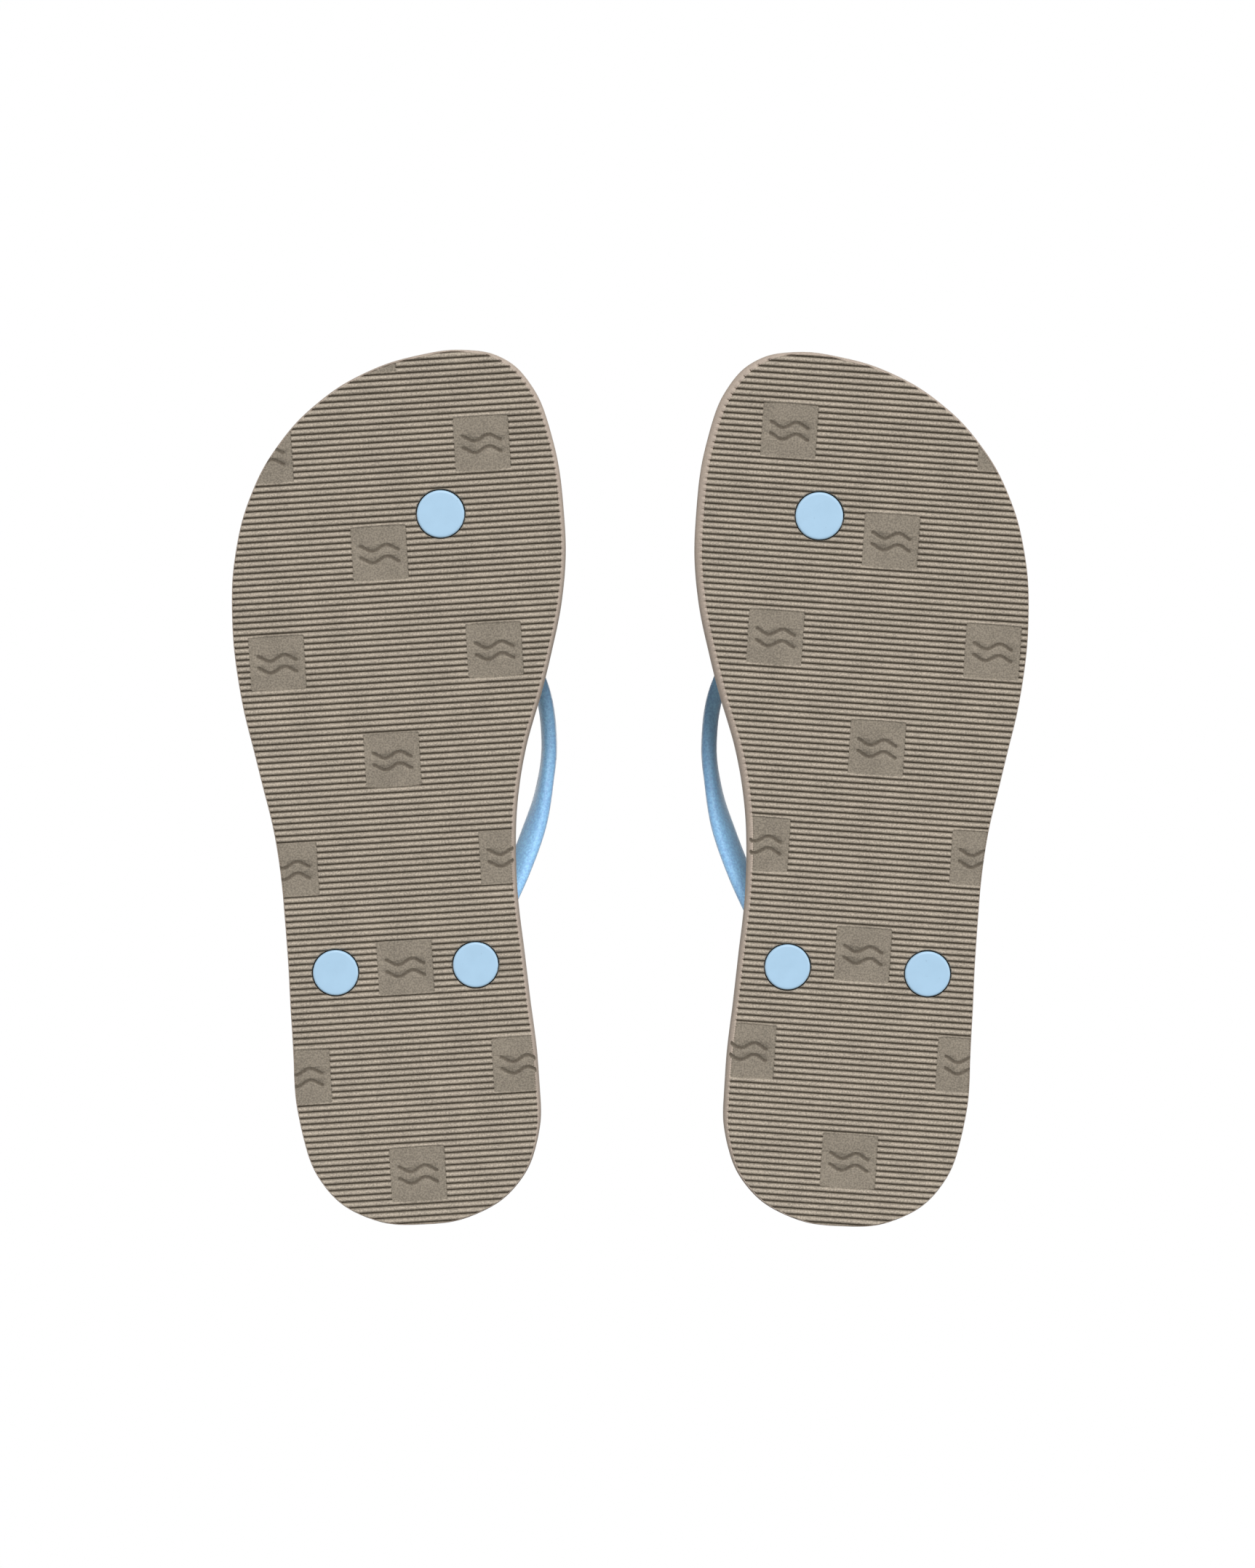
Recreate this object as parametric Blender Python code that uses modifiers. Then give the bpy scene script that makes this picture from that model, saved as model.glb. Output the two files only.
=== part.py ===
"""A pair of slim flip flops: three foam sheets, a moulded strap and three plugs to a shoe."""

import math

import bmesh
import bpy
from mathutils import Matrix, Vector

MM = 0.001
WELD_DISTANCE = 0.00001
SHARP_ANGLE = math.radians(40)
COLLECTION = "flip_flops"
CUTTER_COLLECTION = "cutters"

# The sole: three sheets cut to one outline, stacked on the floor at z = 0.
GAP = 0.3
OUTSOLE_THICKNESS = 3.5
MIDSOLE_THICKNESS = 6.5
FOOTBED_THICKNESS = 4.0
MIDSOLE_Z = OUTSOLE_THICKNESS + GAP
FOOTBED_Z = MIDSOLE_Z + MIDSOLE_THICKNESS + GAP
FOOTBED_TOP = FOOTBED_Z + FOOTBED_THICKNESS
OUTSOLE_DRAFT = 1.0
OUTLINE_STEPS = 4
CUTTER_OVERSHOOT = 1.2

# The right shoe's outline from above the floor, in its own frame: x towards the arch,
# y towards the heel, from the tip of the big toe round the outer side to the heel and back.
OUTLINE = (
    (18.5, -127.4), (5.5, -125.9), (-9.5, -121.1), (-24.0, -112.1), (-35.8, -99.5),
    (-43.6, -85.2), (-48.0, -69.0), (-49.2, -51.0), (-46.9, -28.0), (-41.5, -5.0),
    (-36.3, 17.0), (-33.3, 45.0), (-31.6, 73.0), (-29.2, 99.0), (-21.8, 117.2),
    (-9.2, 126.0), (6.5, 127.8), (22.5, 124.6), (34.3, 115.8), (40.0, 102.5),
    (40.2, 86.0), (36.8, 56.0), (33.4, 22.0), (35.1, -5.0), (42.8, -35.0),
    (47.5, -60.0), (47.5, -80.0), (43.6, -104.0), (37.5, -118.0), (29.8, -125.0),
)

# The plugs and the strap's stems.
TOE_PLUG = (11.7, -79.4, 13.9)
MEDIAL_PLUG = (21.9, 52.0, 13.2)
LATERAL_PLUG = (-18.9, 54.3, 13.2)
PLUG_CLEARANCE = 0.35
PLUG_RECESS = 0.3
PLUG_HEIGHT = 3.1
PLUG_RIM_ROUND = 0.7
PLUG_ROUND_POINTS = 3
PLUG_STEPS = 24
SOCKET_DEPTH = 1.9
STEM_DIAMETER = 6.0
STEM_CLEARANCE = 0.3
STEM_BOTTOM = 1.85
HOLE_SIDES = 24

# The strap's stations: x, y, z of the centre, the band's width and thickness,
# and the way its outer face looks.
MEDIAL_ARM = (
    (12.4, -76.0, 30.0, 7.5, 5.4, (0.1, -0.3, 1.0)),
    (16.4, -68.0, 34.6, 8.6, 5.0, (0.4, -0.2, 1.0)),
    (24.2, -57.0, 39.4, 9.4, 4.7, (0.8, -0.2, 0.8)),
    (33.6, -43.2, 44.2, 10.0, 5.0, (1.0, -0.2, 0.4)),
    (40.7, -28.4, 47.0, 10.0, 5.0, (1.0, 0.0, 0.1)),
    (42.7, -13.0, 46.6, 9.8, 5.0, (1.0, 0.0, 0.05)),
    (41.3, 0.0, 43.6, 9.6, 4.9, (1.0, 0.1, 0.25)),
    (38.0, 13.0, 38.0, 9.5, 4.6, (0.8, 0.2, 0.65)),
    (33.2, 26.0, 31.2, 9.2, 4.2, (0.65, 0.3, 0.7)),
    (27.6, 38.6, 25.4, 8.6, 4.6, (0.65, 0.5, 0.6)),
    (23.4, 48.2, 20.4, 7.2, 5.2, (0.65, 0.8, 0.3)),
    (21.9, 51.9, 16.4, 6.0, 5.8, (0.65, 0.8, 0.0)),
    (21.9, 52.0, 11.0, 6.0, 6.0, (0.65, 0.8, 0.0)),
)
LATERAL_ARM = (
    (11.0, -76.0, 30.0, 7.5, 5.4, (-0.1, -0.3, 1.0)),
    (6.0, -69.0, 34.6, 8.6, 5.0, (-0.4, -0.2, 1.0)),
    (-4.6, -59.0, 39.4, 9.4, 4.7, (-0.8, -0.3, 0.8)),
    (-18.4, -46.0, 44.2, 10.0, 4.5, (-1.0, -0.3, 0.4)),
    (-30.6, -31.0, 47.0, 10.0, 4.3, (-1.0, 0.0, 0.1)),
    (-36.8, -14.0, 46.6, 9.8, 4.2, (-1.0, 0.0, 0.05)),
    (-36.8, 1.0, 43.6, 9.6, 4.1, (-1.0, 0.1, 0.25)),
    (-33.8, 15.0, 38.0, 9.4, 4.1, (-0.8, 0.2, 0.65)),
    (-29.0, 28.0, 31.2, 9.2, 4.2, (-0.65, 0.3, 0.7)),
    (-24.2, 40.8, 25.4, 8.6, 4.6, (-0.65, 0.5, 0.6)),
    (-20.4, 50.5, 20.4, 7.2, 5.2, (-0.65, 0.8, 0.3)),
    (-18.9, 54.2, 16.4, 6.0, 5.8, (-0.65, 0.8, 0.0)),
    (-18.9, 54.3, 11.0, 6.0, 6.0, (-0.65, 0.8, 0.0)),
)
TOE_POST = (
    (11.7, -76.4, 32.0, 5.2, 4.2, (1.0, 0.0, 0.0)),
    (11.7, -77.4, 27.5, 6.2, 5.4, (1.0, 0.0, 0.0)),
    (11.7, -79.0, 20.0, 5.6, 5.2, (1.0, 0.0, 0.0)),
    (11.7, -79.4, 14.0, 6.0, 6.0, (1.0, 0.0, 0.0)),
    (11.7, -79.4, 9.5, 6.0, 6.0, (1.0, 0.0, 0.0)),
)
SPAN_STEPS = 2
BAND_SIDES = 12
BAND_SQUARENESS = 2.4

# Each shoe stands in its own frame: place, turn about the vertical, and hand.
SHOES = (
    ("right", Vector((-66.95, -0.5, 0.0)), 0.0, 1),
    ("left", Vector((67.35, 0.0, 0.0)), math.radians(-0.4), -1),
)

# Colours are linear RGB.
LOOKS = {
    "outsole": ((0.27, 0.235, 0.19), 0.85),
    "midsole": ((0.33, 0.28, 0.235), 0.8),
    "footbed": ((0.33, 0.28, 0.235), 0.75),
    "strap": ((0.26, 0.46, 0.72), 0.5),
    "plug": ((0.42, 0.64, 0.84), 0.35),
}


def clear_scene():
    for obj in list(bpy.data.objects):
        bpy.data.objects.remove(obj, do_unlink=True)
    for collection in list(bpy.data.collections):
        bpy.data.collections.remove(collection)


def new_collection(name):
    collection = bpy.data.collections.new(name)
    bpy.context.scene.collection.children.link(collection)
    return collection


def add_material(obj, look):
    color, roughness = LOOKS[look]
    material = bpy.data.materials.new(obj.name)
    material.use_nodes = True
    shader = material.node_tree.nodes["Principled BSDF"]
    shader.inputs["Base Color"].default_value = (*color, 1.0)
    shader.inputs["Roughness"].default_value = roughness
    shader.inputs["Metallic"].default_value = 0.0
    obj.data.materials.append(material)


def add_piece(name, mesh, look, place, hand, collection):
    """Put a right-hand mesh into a shoe, mirrored for the left one."""
    if hand < 0:
        mesh.transform(Matrix.Scale(-1.0, 4, Vector((1.0, 0.0, 0.0))))
        mesh.flip_normals()
    obj = bpy.data.objects.new(name, mesh)
    collection.objects.link(obj)
    obj.parent = place
    add_material(obj, look)
    return obj


def evaluated_mesh(obj, name):
    """The finished mesh of an object, welded, in place of the object itself."""
    bpy.context.view_layer.update()
    depsgraph = bpy.context.evaluated_depsgraph_get()
    mesh = bpy.data.meshes.new_from_object(obj.evaluated_get(depsgraph))
    mesh.transform(obj.matrix_world)
    mesh.name = name
    mesh.materials.clear()
    bpy.data.objects.remove(obj, do_unlink=True)
    edit = bmesh.new()
    edit.from_mesh(mesh)
    bmesh.ops.remove_doubles(edit, verts=edit.verts, dist=WELD_DISTANCE)
    bmesh.ops.recalc_face_normals(edit, faces=edit.faces)
    edit.to_mesh(mesh)
    edit.free()
    return mesh


def sheet_mesh(name, bottom, thickness):
    """A flat sheet cut to the shoe's outline."""
    curve = bpy.data.curves.new(name, "CURVE")
    curve.dimensions = "2D"
    curve.fill_mode = "BOTH"
    curve.extrude = thickness / 2 * MM
    curve.resolution_u = OUTLINE_STEPS
    spline = curve.splines.new("BEZIER")
    spline.bezier_points.add(len(OUTLINE) - 1)
    spline.use_cyclic_u = True
    for point, (x, y) in zip(spline.bezier_points, OUTLINE):
        point.co = (x * MM, y * MM, 0.0)
        point.handle_left_type = "AUTO"
        point.handle_right_type = "AUTO"
    obj = bpy.data.objects.new(name, curve)
    obj.location.z = (bottom + thickness / 2) * MM
    bpy.context.scene.collection.objects.link(obj)
    return evaluated_mesh(obj, name)


def draw_in_bottom_edge(mesh, inset):
    """Slope the sheet's side so that its lower edge is inset."""
    edit = bmesh.new()
    edit.from_mesh(mesh)
    lowest = min(vertex.co.z for vertex in edit.verts)
    edit.normal_update()
    for vertex in edit.verts:
        if vertex.co.z < lowest + GAP * MM:
            outward = Vector((vertex.normal.x, vertex.normal.y, 0.0)).normalized()
            vertex.co -= outward * inset * MM
    edit.to_mesh(mesh)
    edit.free()


def cylinder_cutter(name, place, diameter, bottom, top, parent, collection):
    mesh = bpy.data.meshes.new(name)
    edit = bmesh.new()
    bmesh.ops.create_cone(
        edit, cap_ends=True, segments=HOLE_SIDES,
        radius1=diameter / 2 * MM, radius2=diameter / 2 * MM, depth=(top - bottom) * MM,
    )
    edit.to_mesh(mesh)
    edit.free()
    cutter = bpy.data.objects.new(name, mesh)
    collection.objects.link(cutter)
    cutter.parent = parent
    cutter.location = Vector((place[0], place[1], (bottom + top) / 2)) * MM
    cutter.hide_render = True
    cutter.display_type = "WIRE"
    return cutter


def cut_holes(obj, cutters):
    for cutter in cutters:
        cut = obj.modifiers.new(cutter.name, "BOOLEAN")
        cut.operation = "DIFFERENCE"
        cut.solver = "EXACT"
        cut.object = cutter


def plug_profile(diameter):
    """Half section of a plug: flat face below, rounded rim, blind socket above."""
    radius = diameter / 2
    bottom = PLUG_RECESS
    top = bottom + PLUG_HEIGHT
    socket = STEM_DIAMETER / 2 + STEM_CLEARANCE
    points = [(0.0, top - SOCKET_DEPTH), (socket, top - SOCKET_DEPTH), (socket, top), (radius, top)]
    for step in range(PLUG_ROUND_POINTS + 1):
        angle = math.pi / 2 * step / PLUG_ROUND_POINTS
        points.append((
            radius - PLUG_RIM_ROUND * (1 - math.cos(angle)),
            bottom + PLUG_RIM_ROUND * (1 - math.sin(angle)),
        ))
    points.append((0.0, bottom))
    return points


def plug_mesh(name, place):
    """A plug turned about its own axis and set under its hole."""
    x, y, diameter = place
    mesh = bpy.data.meshes.new(name)
    profile = [(radius * MM, 0.0, z * MM) for radius, z in plug_profile(diameter)]
    mesh.from_pydata(profile, [(i, i + 1) for i in range(len(profile) - 1)], [])
    obj = bpy.data.objects.new(name, mesh)
    bpy.context.scene.collection.objects.link(obj)
    screw = obj.modifiers.new("turned", "SCREW")
    screw.axis = "Z"
    screw.steps = PLUG_STEPS
    screw.render_steps = PLUG_STEPS
    screw.use_merge_vertices = True
    screw.merge_threshold = WELD_DISTANCE
    obj.location = (x * MM, y * MM, 0.0)
    return evaluated_mesh(obj, name)


def between(before, start, end, after, share):
    """Catmull-Rom value between start and end."""
    slope_in = (end - before) / 2
    slope_out = (after - start) / 2
    square = share * share
    cube = square * share
    return (
        start * (2 * cube - 3 * square + 1) + slope_in * (cube - 2 * square + share)
        + end * (3 * square - 2 * cube) + slope_out * (cube - square)
    )


def fine_stations(stations):
    """Stations at even steps along the smooth line through the given ones."""
    rows = [Vector((x, y, z, width, thickness, *face)) for x, y, z, width, thickness, face in stations]
    padded = [rows[0] * 2 - rows[1], *rows, rows[-1] * 2 - rows[-2]]
    fine = []
    for index in range(1, len(rows)):
        for step in range(SPAN_STEPS):
            fine.append(between(*padded[index - 1:index + 3], step / SPAN_STEPS))
    fine.append(rows[-1])
    return fine


def band_ring(centre, along, station):
    """A rounded band section square to the line, with its face to the stated side."""
    face = Vector(station[5:8])
    face = (face - along * face.dot(along)).normalized()
    across = along.cross(face)
    ring = []
    for step in range(BAND_SIDES):
        angle = 2 * math.pi * step / BAND_SIDES
        cosine, sine = math.cos(angle), math.sin(angle)
        wide = math.copysign(abs(cosine) ** (2 / BAND_SQUARENESS), cosine) * station[3] / 2
        thick = math.copysign(abs(sine) ** (2 / BAND_SQUARENESS), sine) * station[4] / 2
        ring.append((centre + across * wide + face * thick) * MM)
    return ring


def band_mesh(name, stations):
    """A band lofted through its stations, with a stem straight down from its last one."""
    fine = fine_stations(stations)
    centres = [Vector(station[:3]) for station in fine]
    edit = bmesh.new()
    rings = []
    for index, station in enumerate(fine):
        before = centres[max(index - 1, 0)]
        after = centres[min(index + 1, len(centres) - 1)]
        along = (after - before).normalized()
        if index == len(fine) - 1:
            along = Vector((0.0, 0.0, -1.0))
        rings.append([edit.verts.new(co) for co in band_ring(centres[index], along, station)])
    drop = Vector((0.0, 0.0, (STEM_BOTTOM - centres[-1].z) * MM))
    rings.append([edit.verts.new(vertex.co + drop) for vertex in rings[-1]])
    for ring, following in zip(rings, rings[1:]):
        for side in range(BAND_SIDES):
            after = (side + 1) % BAND_SIDES
            edit.faces.new((ring[side], ring[after], following[after], following[side]))
    edit.faces.new(rings[0])
    edit.faces.new(rings[-1])
    bmesh.ops.recalc_face_normals(edit, faces=edit.faces)
    mesh = bpy.data.meshes.new(name)
    edit.to_mesh(mesh)
    edit.free()
    return mesh


def strap_mesh(name):
    """Both arms and the toe post as one body."""
    arms = [
        band_mesh(name + "_medial_arm", MEDIAL_ARM),
        band_mesh(name + "_lateral_arm", LATERAL_ARM),
        band_mesh(name + "_toe_post", TOE_POST),
    ]
    bodies = [bpy.data.objects.new(mesh.name, mesh) for mesh in arms]
    for body in bodies:
        bpy.context.scene.collection.objects.link(body)
    for body in bodies[1:]:
        join = bodies[0].modifiers.new(body.name, "BOOLEAN")
        join.operation = "UNION"
        join.solver = "EXACT"
        join.object = body
    mesh = evaluated_mesh(bodies[0], name)
    for body in bodies[1:]:
        bpy.data.objects.remove(body, do_unlink=True)
    return mesh


def build_shoe(side, place, hand, collection, cutter_collection):
    plugs = {"toe_plug": TOE_PLUG, "medial_plug": MEDIAL_PLUG, "lateral_plug": LATERAL_PLUG}

    def cutters(label, extra, bottom, top):
        return [
            cylinder_cutter(
                f"{side}_{label}_{name}", (hand * x, y),
                (diameter if label == "plug_hole" else STEM_DIAMETER) + 2 * extra,
                bottom, top, place, cutter_collection,
            )
            for name, (x, y, diameter) in plugs.items()
        ]

    plug_holes = cutters("plug_hole", PLUG_CLEARANCE, -CUTTER_OVERSHOOT, OUTSOLE_THICKNESS + GAP / 2)
    stem_holes = cutters("stem_hole", STEM_CLEARANCE, OUTSOLE_THICKNESS, FOOTBED_TOP + CUTTER_OVERSHOOT)

    mesh = sheet_mesh(f"{side}_outsole", 0.0, OUTSOLE_THICKNESS)
    draw_in_bottom_edge(mesh, OUTSOLE_DRAFT)
    outsole = add_piece(f"{side}_outsole", mesh, "outsole", place, hand, collection)
    cut_holes(outsole, plug_holes)

    mesh = sheet_mesh(f"{side}_midsole", MIDSOLE_Z, MIDSOLE_THICKNESS)
    midsole = add_piece(f"{side}_midsole", mesh, "midsole", place, hand, collection)
    cut_holes(midsole, stem_holes)

    mesh = sheet_mesh(f"{side}_footbed", FOOTBED_Z, FOOTBED_THICKNESS)
    footbed = add_piece(f"{side}_footbed", mesh, "footbed", place, hand, collection)
    cut_holes(footbed, stem_holes)

    strap = add_piece(f"{side}_strap", strap_mesh(f"{side}_strap"), "strap", place, hand, collection)
    strap.data.shade_smooth()

    for name, plug in plugs.items():
        obj = add_piece(
            f"{side}_{name}", plug_mesh(f"{side}_{name}", plug), "plug", place, hand, collection
        )
        obj.data.shade_smooth()
        obj.data.set_sharp_from_angle(angle=SHARP_ANGLE)


def main():
    clear_scene()
    collection = new_collection(COLLECTION)
    cutter_collection = new_collection(CUTTER_COLLECTION)
    for side, location, turn, hand in SHOES:
        place = bpy.data.objects.new(f"{side}_shoe", None)
        place.location = location * MM
        place.rotation_euler.z = turn
        collection.objects.link(place)
        build_shoe(side, place, hand, collection, cutter_collection)


main()
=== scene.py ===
"""The looks of a pair of slim flip flops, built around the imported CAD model."""

import math

import bmesh
import bpy
import numpy as np
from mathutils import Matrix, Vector
from mathutils.kdtree import KDTree


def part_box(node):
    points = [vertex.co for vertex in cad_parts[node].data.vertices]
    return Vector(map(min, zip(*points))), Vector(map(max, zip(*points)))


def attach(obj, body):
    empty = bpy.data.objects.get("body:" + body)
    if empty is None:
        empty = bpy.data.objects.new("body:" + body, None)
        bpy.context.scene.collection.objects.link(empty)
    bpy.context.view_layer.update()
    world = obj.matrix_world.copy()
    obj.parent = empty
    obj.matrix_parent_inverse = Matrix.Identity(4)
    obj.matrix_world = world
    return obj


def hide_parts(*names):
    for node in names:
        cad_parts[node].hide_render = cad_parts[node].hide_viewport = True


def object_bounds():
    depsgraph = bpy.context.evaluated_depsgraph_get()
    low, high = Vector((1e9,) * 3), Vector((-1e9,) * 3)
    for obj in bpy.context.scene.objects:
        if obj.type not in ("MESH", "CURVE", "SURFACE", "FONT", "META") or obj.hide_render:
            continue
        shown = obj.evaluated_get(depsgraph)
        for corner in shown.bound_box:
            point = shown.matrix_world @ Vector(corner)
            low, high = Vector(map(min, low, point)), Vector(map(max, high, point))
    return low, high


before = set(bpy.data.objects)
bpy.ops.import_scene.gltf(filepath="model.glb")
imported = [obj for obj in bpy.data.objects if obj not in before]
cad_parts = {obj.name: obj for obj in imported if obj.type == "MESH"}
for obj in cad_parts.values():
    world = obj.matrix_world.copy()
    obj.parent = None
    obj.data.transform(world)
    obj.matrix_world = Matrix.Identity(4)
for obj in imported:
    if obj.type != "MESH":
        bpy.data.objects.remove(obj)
CAD_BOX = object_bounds()

MM = 0.001
HANDS = {"right": 1, "left": -1}
PLUGS = ("toe_plug", "medial_plug", "lateral_plug")

# How finely outlines, sheets and turned bodies are drawn, and the small margins used in making them.
OUTLINE_POINTS = 900
OUTLINE_STEPS = 8
SHEET_ROWS = 240
TURNED_SIDES = 96
FACE_TOLERANCE = 0.01 * MM
HOLE_MARGIN = 1.5
END_ROW_GAP = 0.03 * MM
EDGE_ROOM = 2.2
POINT_GAP = 0.002 * MM
CUTTER_OVERSHOOT = 1.0 * MM

# The camera is below the soles and looks straight up, with the toes at the top of the picture.
CAMERA_DISTANCE = 1300 * MM
CAMERA_CENTRE = (-0.8 * MM, -1.2 * MM)
VIEW_HEIGHT = 456.8 * MM
SENSOR_HEIGHT = 36.0
FLOOR_DROP = 0.4 * MM
STAGE_RADIUS = 7.0
FLOOR_COLOR = (0.9, 0.9, 0.9, 1.0)

# Each light: where it stands as seen from the shoes, how many degrees wide it is, and its strength.
LIGHTS = {
    "sole_key": ((0.06, -0.68, -1.0), 13.0, 2.4),
    "east_fill": ((1.0, -0.1, -0.62), 26.0, 1.35),
    "west_fill": ((-1.0, -0.1, -0.62), 26.0, 0.85),
    "top_key": ((0.15, -0.65, 1.0), 22.0, 2.1),
    "top_fill": ((-0.6, 0.6, 1.2), 70.0, 0.9),
}
WORLD_STRENGTH = 0.12

# The tread: fine cross ribs, interrupted by sunk square panels on a staggered grid.
RIB_TILT = {"right": math.radians(3.56), "left": math.radians(-3.89)}
PANEL_FROM_TOE_PLUG = {"right": (-17.8 * MM, 11.45 * MM), "left": (20.85 * MM, 7.35 * MM)}
PANEL_STEP = (31.7 * MM, 30.2 * MM)
RIB_PITCH = {"right": 1.792 * MM, "left": 1.7835 * MM}
RIB_START = {"right": 0.07 * MM, "left": -0.25 * MM}
GROOVE_DEPTH = 0.85 * MM
CREST_POWER = 2.3
GROOVE_ROWS = (0.0, 0.03, 0.07, 0.12, 0.19, 0.28, 0.39, 0.5, 0.61, 0.72, 0.81, 0.88, 0.93, 0.97)
PANEL_HALF = (7.95 * MM, 7.8 * MM)
PANEL_CORNER = 0.6 * MM
PANEL_DEPTH = 0.42 * MM
PANEL_WALL = 0.4 * MM
PANEL_FLAT = 0.98
COLUMN_STEP = 5.0 * MM
PANEL_COLUMNS = (-0.12, 0.0, 0.1, 0.2, 0.32, 0.5, 0.8)
PANEL_LINE_GAP = 1.2 * MM
PANELS_ACROSS = 4
PANELS_ALONG = 8
RELIEF_BLEND = 3.0

# The tread's lower edge is drawn in from the outline, most at the inner side of the toe.
EDGE_INSET = {"right": (0.35 * MM, 0.45 * MM, 0.75 * MM), "left": (0.35 * MM, 1.2 * MM, 1.0 * MM)}
TOE_CORNER = (0.65, 0.75)
TOE_CORNER_POWER = 1.5
HEEL_EDGE = (-10 * MM, 45 * MM)
HEEL_INSET_LOSS = 0.7
TREAD_EDGE_ROUND = 0.2 * MM
EDGE_SLOPE = ((0.3, 0.25 * MM), (0.6, 0.6 * MM), (0.82, 1.1 * MM), (0.96, 1.8 * MM))
EDGE_STEPS = (0.0, 0.1, 0.25, 0.5, 0.9)

# A plug's hole: how much wider it is than the plug, and the height above the floor, first at its mouth.
PLUG_HOLE = ((0.6 * MM, -0.05 * MM), (0.28 * MM, 0.5 * MM))

# The double wave pressed into each panel.
WAVE_HALF_LENGTH = 6.2 * MM
WAVE_HEIGHT = 0.85 * MM
WAVE_TURNS = 1.5
WAVE_RADIUS = 0.75 * MM
WAVE_SUNK = 0.3 * MM
WAVE_LINES = (-1.5 * MM, 1.9 * MM)
WAVE_POINTS = 60
WAVE_SIDES = 20
WAVE_TIP = 0.2
WAVE_TAPER = 3

# The foam layers above the tread, and the seams between the layers.
END_ROWS = (0.04 * MM, 0.13 * MM, 0.26 * MM)
LAYER_GAP = 0.02 * MM
SEAM_CHAMFER = 0.3 * MM
SEAM_SHARE = 0.9
SEAM_GROOVE = 0.18 * MM
MIDSOLE_EDGE = ((0.6, 0.1 * MM), (1.0, 0.3 * MM))
MIDSOLE_EDGE_STEPS = (0.0, 0.5)
FOOTBED_EDGE_STEPS = (0.0, 0.3)
FOOTBED_ROUND = 1.3 * MM
FOOT_DISH = 0.8 * MM
DISH_RAMP = (3 * MM, 25 * MM)
HEEL_CUP = 0.5 * MM
CUP_START = (0.68, 0.88)
CUP_RAMP = (5 * MM, 23 * MM)
DIMPLE_DEPTH = 0.9 * MM
DIMPLE_REACH = 2.2 * MM
RIM_STEPS = 8
BORDER_LINE = 2.4 * MM
BORDER_LINE_DEPTH = 0.3 * MM
BORDER_LINE_WIDTH = 0.5 * MM
GRAIN_START = (0.9 * MM, 1.6 * MM)
GRAIN_FROM_STEM = (1.5 * MM, 3.5 * MM)
GRAIN_PITCH = 2.7 * MM
GRAIN_STEPS = 6
GRAIN_HEIGHT = 0.26 * MM
GRAIN_HALF = (1.1 * MM, 0.52 * MM)

# The strap, in the shoe's own millimetres (x to the arch, y to the heel), close to the CAD part:
# x, y, z, width, thickness and the way the outer face looks.
MEDIAL_ARM = (
    (12.4, -76.0, 30.0, 7.5, 5.4, (0.1, -0.3, 1.0)),
    (16.4, -68.0, 34.6, 8.6, 5.0, (0.4, -0.2, 1.0)),
    (24.2, -57.0, 39.4, 9.4, 4.7, (0.8, -0.2, 0.8)),
    (33.6, -43.2, 44.2, 10.0, 5.0, (1.0, -0.2, 0.4)),
    (40.7, -28.4, 47.0, 10.0, 5.0, (1.0, 0.0, 0.1)),
    (42.7, -13.0, 46.6, 9.8, 5.0, (1.0, 0.0, 0.05)),
    (41.3, 0.0, 43.6, 9.6, 4.9, (1.0, 0.1, 0.25)),
    (38.0, 13.0, 38.0, 9.5, 4.6, (0.8, 0.2, 0.65)),
    (33.2, 26.0, 31.2, 9.2, 4.2, (0.65, 0.3, 0.7)),
    (27.6, 38.6, 25.4, 8.6, 4.6, (0.65, 0.5, 0.6)),
    (23.4, 48.2, 20.4, 7.2, 5.2, (0.65, 0.8, 0.3)),
    (21.9, 51.9, 16.4, 6.0, 5.8, (0.65, 0.8, 0.0)),
    (21.9, 52.0, 11.0, 6.0, 6.0, (0.65, 0.8, 0.0)),
)
LATERAL_ARM = (
    (11.0, -76.0, 30.0, 7.5, 5.4, (-0.1, -0.3, 1.0)),
    (6.0, -69.0, 34.6, 8.6, 5.0, (-0.4, -0.2, 1.0)),
    (-4.6, -59.0, 39.4, 9.4, 4.7, (-0.8, -0.3, 0.8)),
    (-18.4, -46.0, 44.2, 10.0, 4.5, (-1.0, -0.3, 0.4)),
    (-30.6, -31.0, 47.0, 10.0, 4.3, (-1.0, 0.0, 0.1)),
    (-36.8, -14.0, 46.6, 9.8, 4.2, (-1.0, 0.0, 0.05)),
    (-36.8, 1.0, 43.6, 9.6, 4.1, (-1.0, 0.1, 0.25)),
    (-33.8, 15.0, 38.0, 9.4, 4.1, (-0.8, 0.2, 0.65)),
    (-29.0, 28.0, 31.2, 9.2, 4.2, (-0.65, 0.3, 0.7)),
    (-24.2, 40.8, 25.4, 8.6, 4.6, (-0.65, 0.5, 0.6)),
    (-20.4, 50.5, 20.4, 7.2, 5.2, (-0.65, 0.8, 0.3)),
    (-18.9, 54.2, 16.4, 6.0, 5.8, (-0.65, 0.8, 0.0)),
    (-18.9, 54.3, 11.0, 6.0, 6.0, (-0.65, 0.8, 0.0)),
)
TOE_POST = (
    (11.7, -76.4, 32.0, 5.2, 4.2, (1.0, 0.0, 0.0)),
    (11.7, -77.4, 27.5, 6.2, 5.4, (1.0, 0.0, 0.0)),
    (11.7, -79.0, 20.0, 5.6, 5.2, (1.0, 0.0, 0.0)),
    (11.7, -79.4, 14.0, 6.0, 6.0, (1.0, 0.0, 0.0)),
    (11.7, -79.4, 9.5, 6.0, 6.0, (1.0, 0.0, 0.0)),
)
TOE_HOLE = (11.7, -79.4)
MEDIAL_HOLE = (21.9, 52.0)
STEM_RADIUS = 3.0 * MM
STEM_GAP = 0.05 * MM
STEM_BOTTOM = 1.85
SPAN_STEPS = 14
BAND_SIDES = 44
BAND_SQUARENESS = 2.4
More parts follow.
